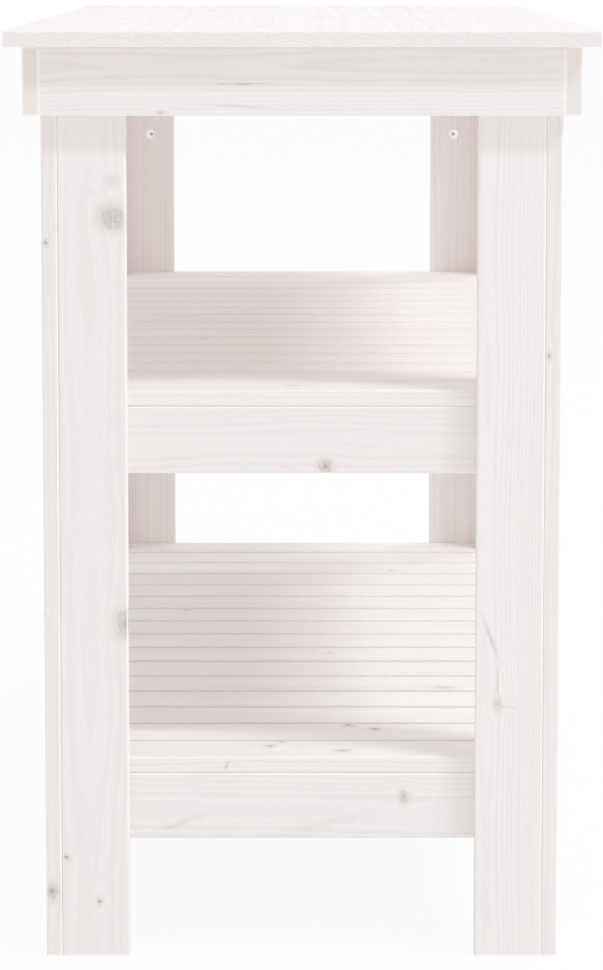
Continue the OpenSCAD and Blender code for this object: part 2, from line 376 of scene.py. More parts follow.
print("rings group:", len(rings.nodes), "nodes so far")

# %% Late wood: a slow rise, then a sharp edge
LATE_RISE = (0.25, 0.86)
LATE_EDGE = (0.91, 1.0)

year = maths(rings, "FRACT", ring_count)
whole_rings = maths(rings, "FLOOR", ring_count)
year_noise = add_node(rings, "ShaderNodeTexWhiteNoise", "each year differs", noise_dimensions="1D")
feed(rings, year_noise.inputs["W"], maths(rings, "ADD", whole_rings, own["Seed"]))
year_depth = maths(rings, "MULTIPLY_ADD", year_noise.outputs["Value"], 0.7, 0.3)
late = maths(rings, "MULTIPLY", rise(rings, year, *LATE_RISE), fall(rings, year, *LATE_EDGE))
late = maths(rings, "MULTIPLY", late, year_depth)
feed(rings, rings_out.inputs["Late wood"], late)
print("rings group:", len(rings.nodes), "nodes so far")

# %% Fibres, resin flecks and slow clouds along the grain
FIBRE_SIZE_MM = (70.0, 0.9, 0.9)
FLECK_SIZE_MM = (16.0, 0.8, 0.8)
CLOUD_SIZE_MM = (420.0, 30.0, 30.0)

fibre = grain_noise(rings, place, FIBRE_SIZE_MM, detail=3.0)
fleck = grain_noise(rings, place, FLECK_SIZE_MM, detail=1.0)
cloud = grain_noise(rings, place, CLOUD_SIZE_MM, detail=2.0)
feed(rings, rings_out.inputs["Fibre"], rise(rings, fibre, 0.3, 0.7))
feed(rings, rings_out.inputs["Fleck"], rise(rings, fleck, 0.66, 0.78))
feed(rings, rings_out.inputs["Cloud"], rise(rings, cloud, 0.3, 0.7))
print("rings group:", len(rings.nodes), "nodes")

# %% [markdown]
# ## Knots
#
# A knot is a branch that the trunk grew round. Under the wash it shows as a grey, ragged spot with a darker
# heart and a wide pale shadow about it, and the grain of the board flows round it on both sides. A texture
# of random cells can scatter such spots, but it puts them where it likes, and these have known places. So
# the group works in the knot's own space, where the knot is a circle of radius 1, and serves every knot. The
# noise that bends its outline is made once for a board and handed in, in millimetres. It differs from place
# to place, so no two knots look stamped, and a board with ten knots needs no ten sets of noise.
#
# The push moves the board's coordinates towards the knot's middle, which squeezes the grain out sideways.
#
# A full knot for each mark would be too much for one material: with ten of them the worktop would come out
# black.
# So a small second group compares two knots and passes on the nearer one, and only the nearest of all is
# drawn. Knots lie far apart, so nobody sees where one takes over from the next.

# %% Node group: noise that bends the outlines of knots
BEND_SIZE_MM = (9.0, 7.0, 7.0)
BEND_MM = 3.0
FRAY_SIZE_MM = (2.2, 1.8, 1.8)
FRAY_MM = 1.5

rough_group, rough_in, rough_out = start_group(
    "Ragged", {"Vector": "Vector"}, {"Bend": "Float", "Fray": "Float"}
)
own = rough_in.outputs
slow_noise = grain_noise(rough_group, own["Vector"], BEND_SIZE_MM, detail=1.0)
quick_noise = grain_noise(rough_group, own["Vector"], FRAY_SIZE_MM, detail=2.0)
for title, noise, reach_mm in (("Bend", slow_noise, BEND_MM), ("Fray", quick_noise, FRAY_MM)):
    both_ways = maths(rough_group, "MULTIPLY_ADD", noise, 2 * reach_mm, -reach_mm)
    feed(rough_group, rough_out.inputs[title], both_ways)
print("ragged group:", len(rough_group.nodes), "nodes")

# %% Node group: the ragged outline of a knot
BODY_EDGE = (0.55, 1.15)

knot_group, knot_in, knot_out = start_group(
    "Knot",
    {
        "Vector": "Vector",
        "Bend": "Float",
        "Fray": "Float",
        "Radius": "Float",
        "Push along": "Vector",
        "Settings": "Vector",
    },
    {"Push": "Vector", "Marks": "Vector", "Halo": "Float"},
)
own = knot_in.outputs
settings = add_node(knot_group, "ShaderNodeSeparateXYZ", "depth, darkness, crack")
feed(knot_group, settings.inputs[0], own["Settings"])
depth, dark, crack = settings.outputs
flat = vector_maths(knot_group, "MULTIPLY", own["Vector"], (1.0, 1.0, 0.0))
bend = maths(knot_group, "DIVIDE", own["Bend"], own["Radius"])
fray = maths(knot_group, "DIVIDE", own["Fray"], own["Radius"])
far_out = vector_maths(knot_group, "LENGTH", flat)
out = maths(knot_group, "ADD", far_out, maths(knot_group, "ADD", bend, fray))
body = maths(knot_group, "MULTIPLY", fall(knot_group, out, *BODY_EDGE), depth)
print("knot group:", len(knot_group.nodes), "nodes so far")

# %% Rings, bark and heart inside the knot
BRANCH_RINGS = 3.0
RING_DARKNESS = 0.25
BARK_RISE = (0.45, 0.80)
BARK_FALL = (0.85, 1.15)
HEART_EDGE = (0.10, 0.60)

year = maths(knot_group, "FRACT", maths(knot_group, "MULTIPLY", out, BRANCH_RINGS))
branch_rings = maths(knot_group, "MULTIPLY", rise(knot_group, year, 0.2, 0.9), body)
branch_rings = maths(knot_group, "MULTIPLY", branch_rings, RING_DARKNESS)
bark = maths(
    knot_group, "MULTIPLY", rise(knot_group, out, *BARK_RISE), fall(knot_group, out, *BARK_FALL)
)
broken = maths(knot_group, "MULTIPLY", rise(knot_group, own["Fray"], -0.3, 0.5), depth)
lines = maths(knot_group, "MAXIMUM", branch_rings, maths(knot_group, "MULTIPLY", bark, broken))
heart_out = maths(knot_group, "ADD", far_out, maths(knot_group, "MULTIPLY", fray, 1.3))
heart = maths(knot_group, "MULTIPLY", fall(knot_group, heart_out, *HEART_EDGE), dark)
print("knot group:", len(knot_group.nodes), "nodes so far")

# %% The crack across a dry knot, the halo round it and the push on the grain
CRACK_EDGE = (0.02, 0.12)
HALO_EDGE = (0.9, 2.2)
PUSH_REACH = (3.2, 2.0, 1.0)
PUSH_SHARE = 0.9

axes = add_node(knot_group, "ShaderNodeSeparateXYZ", "across the knot")
feed(knot_group, axes.inputs[0], flat)
bent_x = maths(knot_group, "ABSOLUTE", maths(knot_group, "ADD", axes.outputs["X"], bend))
bent_y = maths(knot_group, "ABSOLUTE", maths(knot_group, "ADD", axes.outputs["Y"], fray))
cross = fall(knot_group, maths(knot_group, "MINIMUM", bent_x, bent_y), *CRACK_EDGE)
cross = maths(knot_group, "MULTIPLY", cross, fall(knot_group, out, 0.6, 1.0))
whole = maths(knot_group, "SUBTRACT", 1.0, maths(knot_group, "MULTIPLY", cross, crack))
marks = add_node(knot_group, "ShaderNodeCombineXYZ", "body, dark lines, heart")
for socket, mark in zip(marks.inputs, (body, lines, heart)):
    feed(knot_group, socket, maths(knot_group, "MULTIPLY", mark, whole))
feed(knot_group, knot_out.inputs["Marks"], marks.outputs[0])
halo = fall(knot_group, maths(knot_group, "ADD", far_out, bend), *HALO_EDGE)
feed(knot_group, knot_out.inputs["Halo"], maths(knot_group, "MULTIPLY", halo, depth))
reach = vector_maths(knot_group, "LENGTH", vector_maths(knot_group, "DIVIDE", flat, PUSH_REACH))
reach = maths(knot_group, "MULTIPLY", maths(knot_group, "POWER", reach, 2.0), -1.0)
squeeze = maths(knot_group, "MULTIPLY", maths(knot_group, "EXPONENT", reach), -PUSH_SHARE)
squeeze = maths(knot_group, "MULTIPLY", squeeze, axes.outputs["Y"])
squeeze = maths(knot_group, "MULTIPLY", squeeze, own["Radius"])
push = vector_maths(knot_group, "SCALE", own["Push along"])
feed(knot_group, push.node.inputs["Scale"], squeeze)
feed(knot_group, knot_out.inputs["Push"], push)
print("knot group:", len(knot_group.nodes), "nodes")

# %% Node group: the nearer of two knots
nearer_group, nearer_in, nearer_out = start_group(
    "Nearer knot",
    {
        "Place": "Vector",
        "Settings": "Vector",
        "Radius": "Float",
        "New place": "Vector",
        "New settings": "Vector",
        "New radius": "Float",
    },
    {"Place": "Vector", "Settings": "Vector", "Radius": "Float"},
)
own = nearer_in.outputs
distances = []
for which in ("Place", "New place"):
    level = vector_maths(nearer_group, "MULTIPLY", own[which], (1.0, 1.0, 0.0))
    distances.append(vector_maths(nearer_group, "LENGTH", level))
here, there = distances
is_nearer = maths(nearer_group, "LESS_THAN", there, here)
for which in ("Place", "Settings"):
    change = vector_maths(nearer_group, "SUBTRACT", own["New " + which.lower()], own[which])
    choice = vector_maths(nearer_group, "MULTIPLY_ADD", change, is_nearer, own[which])
    feed(nearer_group, nearer_out.inputs[which], choice)
change = maths(nearer_group, "SUBTRACT", own["New radius"], own["Radius"])
choice = maths(nearer_group, "MULTIPLY_ADD", change, is_nearer, own["Radius"])
feed(nearer_group, nearer_out.inputs["Radius"], choice)
print("nearer group:", len(nearer_group.nodes), "nodes")

# %% [markdown]
# Not every dark mark is a knot. Resin leaves thin streaks along the grain, and where the saw followed a bend
# in the trunk the late wood shows as a broad soft band. Stretched noise could give such marks by chance, but
# these too have their places. Both kinds are a long ellipse with soft ends, bent a little, so one more small
# group serves them.

# %% Node group: one streak
streak_group, streak_in, streak_out = start_group(
    "Streak",
    {"Vector": "Vector", "Ragged": "Float", "Bend": "Float", "Depth": "Float", "Streak": "Float"},
    {"Streak": "Float"},
)
own = streak_in.outputs
axes = add_node(streak_group, "ShaderNodeSeparateXYZ", "along and across")
feed(streak_group, axes.inputs[0], own["Vector"])
curve = maths(streak_group, "MULTIPLY", maths(streak_group, "POWER", axes.outputs["X"], 2.0), own["Bend"])
across = maths(streak_group, "ADD", axes.outputs["Y"], curve)
across = maths(streak_group, "MULTIPLY_ADD", own["Ragged"], 0.12, across)
flat = add_node(streak_group, "ShaderNodeCombineXYZ", "bent ellipse")
feed(streak_group, flat.inputs["X"], axes.outputs["X"])
feed(streak_group, flat.inputs["Y"], across)
streak = fall(streak_group, vector_maths(streak_group, "LENGTH", flat.outputs[0]), 0.0, 1.0)
uneven = maths(streak_group, "MULTIPLY_ADD", own["Ragged"], 0.25, 0.9)
streak = maths(streak_group, "MULTIPLY", streak, uneven)
streak = maths(streak_group, "MULTIPLY", streak, own["Depth"], clamp=True)
feed(streak_group, streak_out.inputs["Streak"], maths(streak_group, "MAXIMUM", streak, own["Streak"]))
print("streak group:", len(streak_group.nodes), "nodes")

# %% [markdown]
# ## Painted light at the rounded edges
#
# The edges of a planed board are rounded over. Where two boards meet, the rounded edges make a groove that
# lies in shade, so a whiter colour is painted along every edge as painted light, and the joints between the
# boards hardly show. Blender has a Bevel node and a Pointiness value that find edges, but the first is slow
# and the second needs a dense mesh. A board is a box, and there an edge is where two of the three distances
# to the sides are small. So the middle one of the three tells how near the edge is.
#
# At its two ends a board shows end grain, which drinks the wash and stays darker. There the distance along
# the board is nothing. Only the worktop's ends are as white as the rest, because they are sanded. The slats'
# narrow sides are darker than their faces, which draws a fine line at every gap.

# %% Node group: the rounded edges of a board
# How far the painted light along an edge reaches, and where it is full
EDGE_LIGHT_MM = 3.0
FULL_EDGE_LIGHT_MM = 1.2
RAGGED_SIZE_MM = (60.0, 12.0, 12.0)
RAGGED_MM = 1.6
FACE_BAND_MM = (0.2, 0.6)

arris_group, arris_in, arris_out = start_group(
    "Arris",
    {"Vector": "Vector", "Half size": "Vector"},
    {"Arris": "Float", "End grain": "Float", "Narrow side": "Float"},
)
own = arris_in.outputs
from_middle = vector_maths(arris_group, "ABSOLUTE", own["Vector"])
inside = vector_maths(arris_group, "SUBTRACT", own["Half size"], from_middle)
axes = add_node(arris_group, "ShaderNodeSeparateXYZ", "distance to the sides")
feed(arris_group, axes.inputs[0], inside)
gap_x, gap_y, gap_z = axes.outputs
least = maths(arris_group, "MINIMUM", maths(arris_group, "MINIMUM", gap_x, gap_y), gap_z)
most = maths(arris_group, "MAXIMUM", maths(arris_group, "MAXIMUM", gap_x, gap_y), gap_z)
middle_gap = maths(arris_group, "ADD", maths(arris_group, "ADD", gap_x, gap_y), gap_z)
middle_gap = maths(arris_group, "SUBTRACT", middle_gap, least)
middle_gap = maths(arris_group, "SUBTRACT", middle_gap, most)
ragged_edge = grain_noise(arris_group, own["Vector"], RAGGED_SIZE_MM)
middle_gap = maths(arris_group, "MULTIPLY_ADD", ragged_edge, RAGGED_MM, middle_gap)
near_edge = fall(arris_group, middle_gap, FULL_EDGE_LIGHT_MM, EDGE_LIGHT_MM)
feed(arris_group, arris_out.inputs["Arris"], near_edge)
feed(arris_group, arris_out.inputs["End grain"], fall(arris_group, gap_x, *FACE_BAND_MM))
feed(arris_group, arris_out.inputs["Narrow side"], fall(arris_group, gap_y, *FACE_BAND_MM))
print("arris group:", len(arris_group.nodes), "nodes")

# %% [markdown]
# ## The white wash
#
# White wash is a thin, matt stain. It nearly hides the wood: late wood and fibres show only as a slightly
# darker, warmer white, while knots stay visible, because their dense wood takes little stain. It could be a
# half clear layer over brown wood, but then every trace of the wood would need its own thickness of wash.
# It is easier to name the colours that a colour meter would read off the washed board, and to mix each in by
# its own mask. Some masks also paint light and shade: painted light along the rounded edges, and painted
# shade on the boards that the lamps light most.

# %% Colours of the washed wood
def srgb(red, green, blue):
    """A colour given as 0 to 255, as Blender's nodes want it."""
    channels = [value / 255 for value in (red, green, blue)]
    linear = [((c + 0.055) / 1.055) ** 2.4 if c > 0.04045 else c / 12.92 for c in channels]
    return (*linear, 1.0)


WASH = srgb(251, 249, 248)
THIN_WASH = srgb(246, 240, 237)
# A darker, warmer wash: the random tone of some boards, and painted shade on the boards that the lamps light
# most
WARM_WASH_AND_PAINTED_SHADE = srgb(246, 240, 238)
LATE_WOOD = srgb(232, 223, 218)
FIBRE_SHADE = srgb(240, 234, 231)
RESIN = srgb(203, 195, 191)
KNOT_HALO = srgb(234, 229, 224)
KNOT_WOOD = srgb(223, 214, 210)
KNOT_LINE = srgb(196, 186, 182)
KNOT_HEART = srgb(170, 164, 161)
# Painted light: a whiter colour along the rounded edges, which fills in the shade where two boards meet
PAINTED_EDGE_LIGHT = srgb(252, 249, 246)
END_GRAIN = srgb(238, 230, 224)
# A darker colour for the slats' narrow sides, which draws a fine line at every gap
SLAT_SIDE_DARK = srgb(232, 228, 227)
print("early wood under the wash, linear:", [round(c, 3) for c in WASH[:3]])

# %% Node group: white wash over the wood
wash_group, wash_in, wash_out = start_group(
    "White wash",
    {
        "Late wood": "Float",
        "Fibre": "Float",
        "Fleck": "Float",
        "Cloud": "Float",
        "Marks": "Vector",
        "Halo": "Float",
        "Streak": "Float",
        "Arris": "Float",
        "End grain": "Float",
        "Narrow side": "Float",
        "Tone": "Float",
    },
    {"Colour": "Color", "Roughness": "Float", "Height": "Float"},
)
own = wash_in.outputs
marks = add_node(wash_group, "ShaderNodeSeparateXYZ", "body, dark lines, heart")
feed(wash_group, marks.inputs[0], own["Marks"])
coats = (
    (own["Cloud"], 0.55, THIN_WASH),
    # The random tone of each board, and painted shade on the boards that the lamps light most
    (own["Tone"], 1.0, WARM_WASH_AND_PAINTED_SHADE),
    (own["Late wood"], 0.42, LATE_WOOD),
    (own["Fibre"], 0.30, FIBRE_SHADE),
    (own["Fleck"], 0.25, RESIN),
    # Darker narrow sides of the slats
    (own["Narrow side"], 0.90, SLAT_SIDE_DARK),
    (own["End grain"], 0.60, END_GRAIN),
    (own["Halo"], 0.80, KNOT_HALO),
    (own["Streak"], 1.0, RESIN),
    (marks.outputs["X"], 0.90, KNOT_WOOD),
    (marks.outputs["Y"], 0.55, KNOT_LINE),
    (marks.outputs["Z"], 0.90, KNOT_HEART),
    # Painted light along the rounded edges, filling in the shade of the joints
    (own["Arris"], 1.0, PAINTED_EDGE_LIGHT),
)
colour = WASH
for mask, strength_of_coat, coat in coats:
    amount = maths(wash_group, "MULTIPLY", mask, strength_of_coat, clamp=True)
    colour = mix_colour(wash_group, amount, colour, coat)
feed(wash_group, wash_out.inputs["Colour"], colour)
print("coats in the wash:", len(coats))

# %% How matt the wash is, and its relief
ROUGH_WASH = 0.66
rough = maths(wash_group, "MULTIPLY_ADD", own["Fibre"], 0.08, ROUGH_WASH - 0.04)
rough = maths(wash_group, "MULTIPLY_ADD", own["Late wood"], -0.06, rough)
rough = maths(wash_group, "MULTIPLY_ADD", marks.outputs["X"], -0.14, rough)
feed(wash_group, wash_out.inputs["Roughness"], rough)
relief = maths(wash_group, "MULTIPLY", own["Late wood"], 0.035)
relief = maths(wash_group, "MULTIPLY_ADD", own["Fibre"], 0.02, relief)
relief = maths(wash_group, "MULTIPLY_ADD", own["Fleck"], -0.04, relief)
relief = maths(wash_group, "MULTIPLY_ADD", marks.outputs["Y"], -0.08, relief)
relief = maths(wash_group, "MULTIPLY_ADD", own["Streak"], -0.04, relief)
feed(wash_group, wash_out.inputs["Height"], relief)
print("wash group:", len(wash_group.nodes), "nodes")

# %% [markdown]
# ## Glued strips
#
# The worktop is glued from strips of about 56 mm, laid side by side with their grain along the bench. Each
# strip was cut from a different board, so its rings and its tone differ from its neighbours'. The strips
# could be nine pieces, but the worktop was planed after the glue had dried, so there is no step between
# them, only a change of grain. The group finds which strip a place is on, and moves the pattern by a random
# amount for each.

# %% Node group: glued strips
STRIPS = 9
STRIP_SEED = 3.7
JOINT_EDGE = (0.488, 0.499)

strip_group, strip_in, strip_out = start_group(
    "Glued strips",
    {"Vector": "Vector", "Strip width": "Float"},
    {"Vector": "Vector", "Tone": "Float", "Joint": "Float"},
)
own = strip_in.outputs
axes = add_node(strip_group, "ShaderNodeSeparateXYZ", "across the worktop")
feed(strip_group, axes.inputs[0], own["Vector"])
count = maths(strip_group, "DIVIDE", axes.outputs["Y"], own["Strip width"])
count = maths(strip_group, "ADD", count, STRIPS / 2)
number = maths(strip_group, "FLOOR", count)
within = maths(strip_group, "SUBTRACT", maths(strip_group, "FRACT", count), 0.5)
within_mm = maths(strip_group, "MULTIPLY", within, own["Strip width"])
strip_noise = add_node(strip_group, "ShaderNodeTexWhiteNoise", "each strip differs", noise_dimensions="1D")
feed(strip_group, strip_noise.inputs["W"], maths(strip_group, "ADD", number, STRIP_SEED))
parts = add_node(strip_group, "ShaderNodeSeparateColor", "three random amounts")
feed(strip_group, parts.inputs[0], strip_noise.outputs["Color"])
moved = add_node(strip_group, "ShaderNodeCombineXYZ", "the strip's own space")
moves = (("X", 7000.0, axes.outputs["X"]), ("Y", 44.0, within_mm), ("Z", 22.0, axes.outputs["Z"]))
for part, (letter, reach_mm, before) in zip(parts.outputs, moves):
    feed(strip_group, moved.inputs[letter], maths(strip_group, "MULTIPLY_ADD", part, reach_mm, before))
feed(strip_group, strip_out.inputs["Vector"], moved.outputs[0])
feed(strip_group, strip_out.inputs["Tone"], strip_noise.outputs["Value"])
joint = rise(strip_group, maths(strip_group, "ABSOLUTE", within), *JOINT_EDGE)
feed(strip_group, strip_out.inputs["Joint"], joint)
print("strips of", round(500 / STRIPS, 1), "mm")

# %% [markdown]
# ## From groups to a board
#
# One function puts the groups together for one board: the board's own space first, then its knots, which
# push the grain aside, then the rings, the streaks and the edges, and the wash over all of them. A knot or a
# streak is a small record: where it is in the board's space, how big it is, and how dark.

# %% Place one knot or streak in a board's space
def knot(place, radius, long=1.15, depth=0.5, dark=0.7, crack=0.0, edge=False, slant=0.0):
    """A knot with its middle at place, in the board's own mm. An edge knot runs across the board."""
    return dict(kind="knot", place=place, radius=radius, long=long, depth=depth, dark=dark, crack=crack,
                edge=edge, slant=slant)


def streak(place, length, width, bend=0.0, depth=0.4, edge=False, slant=0.0):
    """A streak of resin or of late wood with its middle at place, and half its length and width."""
    return dict(kind="streak", place=place, length=length, width=width, bend=bend, depth=depth, edge=edge,
                slant=slant)


def mark_space(tree, vector, mark, size):
    """The board's space seen from a mark, where the mark measures 1."""
    mapping = add_node(tree, "ShaderNodeMapping", "space of one " + mark["kind"], vector_type="TEXTURE")
    mapping.inputs["Location"].default_value = mark["place"]
    lean = math.radians(mark["slant"])
    quarter = math.pi / 2
    turn = (quarter, -lean, 0.0) if mark["edge"] else (0.0, 0.0, lean)
    mapping.inputs["Rotation"].default_value = turn
    mapping.inputs["Scale"].default_value = size
    feed(tree, mapping.inputs["Vector"], vector)
    return mapping.outputs["Vector"]


print("marks ready: knot, streak")

# %% Draw the knots and streaks of one board
def knot_facts(tree, space, mark):
    """What the groups need to know of a knot: its space, its settings and its radius."""
    place = mark_space(tree, space, mark, (mark["radius"] * mark["long"], mark["radius"], mark["radius"]))
    return place, (mark["depth"], mark["dark"], mark["crack"]), mark["radius"]


def draw_knots(tree, space, knots, ragged):
    """Draws the nearest of a board's knots at each place: its push, its marks and its halo."""
    place, settings, radius = knot_facts(tree, space, knots[0])
    for other in knots[1:]:
        new_place, new_settings, new_radius = knot_facts(tree, space, other)
        node = use_group(
            tree, nearer_group, Place=place, Settings=settings, Radius=radius,
            New_place=new_place, New_settings=new_settings, New_radius=new_radius,
        )
        place, settings, radius = node.outputs
    aside = (0.0, 0.0, 1.0) if knots[0]["edge"] else (0.0, 1.0, 0.0)
    node = use_group(tree, knot_group, Vector=place, Radius=radius, Settings=settings, Push_along=aside)
    tree.links.new(ragged.outputs["Bend"], node.inputs["Bend"])
    tree.links.new(ragged.outputs["Fray"], node.inputs["Fray"])
    return node.outputs


def draw_streaks(tree, space, streaks, ragged):
    """Draws a board's streaks one after the other, each on top of those before it."""
    drawn = 0.0
    for mark in streaks:
        inner = mark_space(tree, space, mark, (mark["length"], mark["width"], mark["width"]))
        node = use_group(
            tree, streak_group, Vector=inner, Bend=mark["bend"], Depth=mark["depth"], Streak=drawn,
            Ragged=ragged.outputs["Bend"],
        )
        drawn = node.outputs["Streak"]
    return drawn


print("draw_knots and draw_streaks ready")

# %% The pine material
RELIEF_M = 0.001
WASH_SHINE = 0.2
# How much painted light the rounded edges of most boards get
EDGE_LIGHT_SHARE = 0.9
STRIP_TONES = 0.5
JOINT_DARKNESS = 0.12


def dress(name, material):
    """Gives an object of the frame its one material."""
    boards[name].data.materials.clear()
    boards[name].data.materials.append(material)


def pine(name, seed, pith, ring_width, tone, marks, strips=0, edge_light=EDGE_LIGHT_SHARE, sawn=0.0):
    """Gives a board its own white-washed pine. It is glued from strips where strips isn't 0."""
    material = bpy.data.materials.new("washed pine, " + name.replace("_", " "))
    material.use_nodes = True
    tree = material.node_tree
    shader = tree.nodes["Principled BSDF"]
    space = board_space(tree, name)
    half = lie_of(name)[2]
    laid = space
    if strips:
        glued = use_group(tree, strip_group, Vector=space, Strip_width=2 * half[1] / strips)
        laid = glued.outputs["Vector"]
        tone = maths(tree, "MULTIPLY_ADD", glued.outputs["Tone"], STRIP_TONES, tone)
    ragged = use_group(tree, rough_group, Vector=space) if marks else None
    knots = [mark for mark in marks if mark["kind"] == "knot"]
    grain, seen, halo = laid, (0.0, 0.0, 0.0), 0.0
    if knots:
        push, seen, halo = draw_knots(tree, space, knots, ragged)
        grain = vector_maths(tree, "ADD", laid, push)
    streaks = draw_streaks(tree, space, [mark for mark in marks if mark["kind"] == "streak"], ragged)
    if strips:
        joints = maths(tree, "MULTIPLY", glued.outputs["Joint"], JOINT_DARKNESS)
        streaks = maths(tree, "MAXIMUM", streaks, joints)
    wood = use_group(tree, rings, Vector=grain, Seed=seed, Pith=pith, Ring_width=ring_width)
    edges = use_group(tree, arris_group, Vector=space, Half_size=half)
    wash = use_group(tree, wash_group, Marks=seen, Halo=halo, Streak=streaks, Tone=tone)
    # Painted light along the board's rounded edges
    feed(tree, wash.inputs["Arris"], maths(tree, "MULTIPLY", edges.outputs["Arris"], edge_light))
    if not strips:
        tree.links.new(edges.outputs["End grain"], wash.inputs["End grain"])
        # Darker narrow sides, as much as the board asks for
        feed(tree, wash.inputs["Narrow side"], maths(tree, "MULTIPLY", edges.outputs["Narrow side"], sawn))
    for layer in ("Late wood", "Fibre", "Fleck", "Cloud"):
        tree.links.new(wood.outputs[layer], wash.inputs[layer])
    bump = add_node(tree, "ShaderNodeBump", "relief of the grain")
    bump.inputs["Distance"].default_value = RELIEF_M
    bump.inputs["Strength"].default_value = 1.0
    tree.links.new(wash.outputs["Height"], bump.inputs["Height"])
    tree.links.new(wash.outputs["Colour"], shader.inputs["Base Color"])
    tree.links.new(wash.outputs["Roughness"], shader.inputs["Roughness"])
    tree.links.new(bump.outputs["Normal"], shader.inputs["Normal"])
    shader.inputs["Specular IOR Level"].default_value = WASH_SHINE
    dress(name, material)


print("pine ready")

# %% [markdown]
# ## The boards at the end that the picture shows
#
# These boards follow the picture knot by knot, because a bench is known by its knots, and chance would never
# give the same ones. A place is given as it is measured on the bench, in millimetres from the floor and from
# the middle line, and turned into the board's own space.

# %% Knots and streaks of the end boards
END_FACE = 523.5
EDGE_FACE = 537.5


def at(along_y, up_z, x=END_FACE):
    """A place on the bench, from its distance to the middle line and to the floor."""
    return x, along_y, up_z


photographed = {
    "near_left_leg_end_board": [
        knot(at(-160, 640), 10.2, long=0.95, depth=1.0, dark=0.35, crack=0.7),
        streak(at(-163, 643), 19.0, 18.0, depth=0.30),
        streak(at(-161, 672), 12.0, 10.0, depth=0.36),
        streak(at(-178, 664), 16.0, 2.5, bend=-1.0, depth=0.18, slant=-35),
        knot(at(-150.5, 292), 8.4, long=1.6, depth=1.0, dark=0.5),
        knot(at(-204, 87), 3.6, depth=0.35, dark=1.0),
        knot(at(-175, 48), 3.8, depth=0.40, dark=0.9),
    ],
    "near_left_leg_side_board": [
        knot(at(-217, 620), 3.6, depth=0.40, dark=0.8, edge=True),
        knot(at(-207, 633), 2.6, depth=0.25, dark=0.5, edge=True),
        knot(at(-216, 57), 6.5, depth=0.80, dark=0.7, edge=True),
    ],
    "near_right_leg_side_board": [
        knot(at(210, 523), 3.8, depth=0.45, dark=0.75, edge=True),
    ],
    "near_right_leg_end_board": [
        knot(at(168, 222), 5.0, long=1.1, depth=0.45, dark=0.25),
        streak(at(162, 279), 34.0, 2.9, depth=0.50, slant=-19),
        streak(at(168, 243), 26.0, 2.2, bend=-0.8, depth=0.50),
        streak(at(180, 219), 13.0, 1.8, bend=1.0, depth=0.35, slant=-78),
    ],
    "near_end_apron": [
        knot(at(-119, 730, EDGE_FACE), 2.8, depth=0.40, dark=0.6),
        streak(at(-50.5, 755, EDGE_FACE), 42.0, 1.4, depth=0.65),
        streak(at(-52, 736, EDGE_FACE), 40.0, 2.4, depth=0.45, slant=-3),
    ],
    "upper_shelf_near_stretcher": [
        knot(at(20, 426, 509.5), 5.8, long=1.0, depth=1.0, dark=0.8),
    ],
    "lower_shelf_near_stretcher": [
        knot(at(88, 137, 509.5), 5.6, long=0.75, depth=0.75, dark=0.5),
        streak(at(-105, 114, 509.5), 38.0, 4.5, depth=0.26, slant=20),
        streak(at(18, 112, 509.5), 66.0, 8.0, depth=0.20, slant=14),
    ],
    "upper_slat_16": [streak(at(-7, 0, 478), 14.0, 5.0, depth=0.8)],
    "upper_slat_11": [streak(at(-98, 0, 140), 19.0, 4.0, depth=0.7)],
    "upper_slat_09": [streak(at(130, 0, 26), 15.0, 4.0, depth=0.45)],
    "upper_slat_12": [streak(at(65, 0, 248), 9.0, 4.0, depth=0.45)],
    "lower_slat_16": [
        knot(at(-28, 0, 470), 5.0, depth=0.6, dark=0.8),
        knot(at(-18, 0, 456), 3.5, depth=0.4, dark=0.6),
        knot(at(35, 0, 487), 5.5, long=1.6, depth=0.6, dark=0.6),
        streak(at(-65, 165, 509.5), 9.0, 3.0, depth=0.5, edge=True, slant=62),
    ],
    "lower_slat_15": [
        knot(at(42, 0, 394), 5.0, depth=0.6, dark=0.9),
        knot(at(65, 0, 408), 5.5, depth=0.6, dark=0.9),
    ],
    "lower_slat_07": [knot(at(-122, 0, -118), 4.0, depth=0.5, dark=0.9)],
    "lower_slat_03": [knot(at(101, 0, -336), 5.0, long=1.6, depth=0.4, dark=0.4)],
    "lower_slat_12": [knot(at(134, 0, 244), 6.0, long=1.8, depth=0.5, dark=0.3)],
    "lower_slat_14": [streak(at(133, 0, 330), 24.0, 3.0, depth=0.35)],
    "lower_slat_10": [knot(at(28, 0, 92), 4.0, long=1.5, depth=0.3, dark=0.3)],
}
for name, marks in photographed.items():
    for mark in marks:
        mark["place"] = tuple(on_board(name, mark["place"]))
print("marks measured on the end boards:", sum(len(marks) for marks in photographed.values()))

# %% [markdown]
# ## All the other boards
#
# The boards that no picture shows get knots of their own, drawn from a seeded random row, so that every run
# makes the same bench. Each board also has its own pith, ring width and tone, because no two boards in a
# stack come from the same part of a tree. They could all share one material, but then every board would
# show the same knots.
#
# The boards of the long sides get the most of a darker, warmer wash. It is painted shade, because both lamps
# light the long right side so brightly that it would wash out, and it keeps their grain visible. The near
# end, which the key lamp lights, comes next, and the slats are the palest. The slats get no painted light
# along their edges, so the gaps between them stay dark. Only slat 16, flush with its stretcher, has some.

# %% Give every board its wood
SEED = 58
draw = random.Random(SEED)
FLAT_WOOD = [name for name in sorted(boards) if not name.endswith(("bolts", "nuts", "screws"))]
KNOTS_PER_METRE = 1.4
CLEAR_BOARDS = ("far_left_leg_end_board", "far_right_leg_end_board")


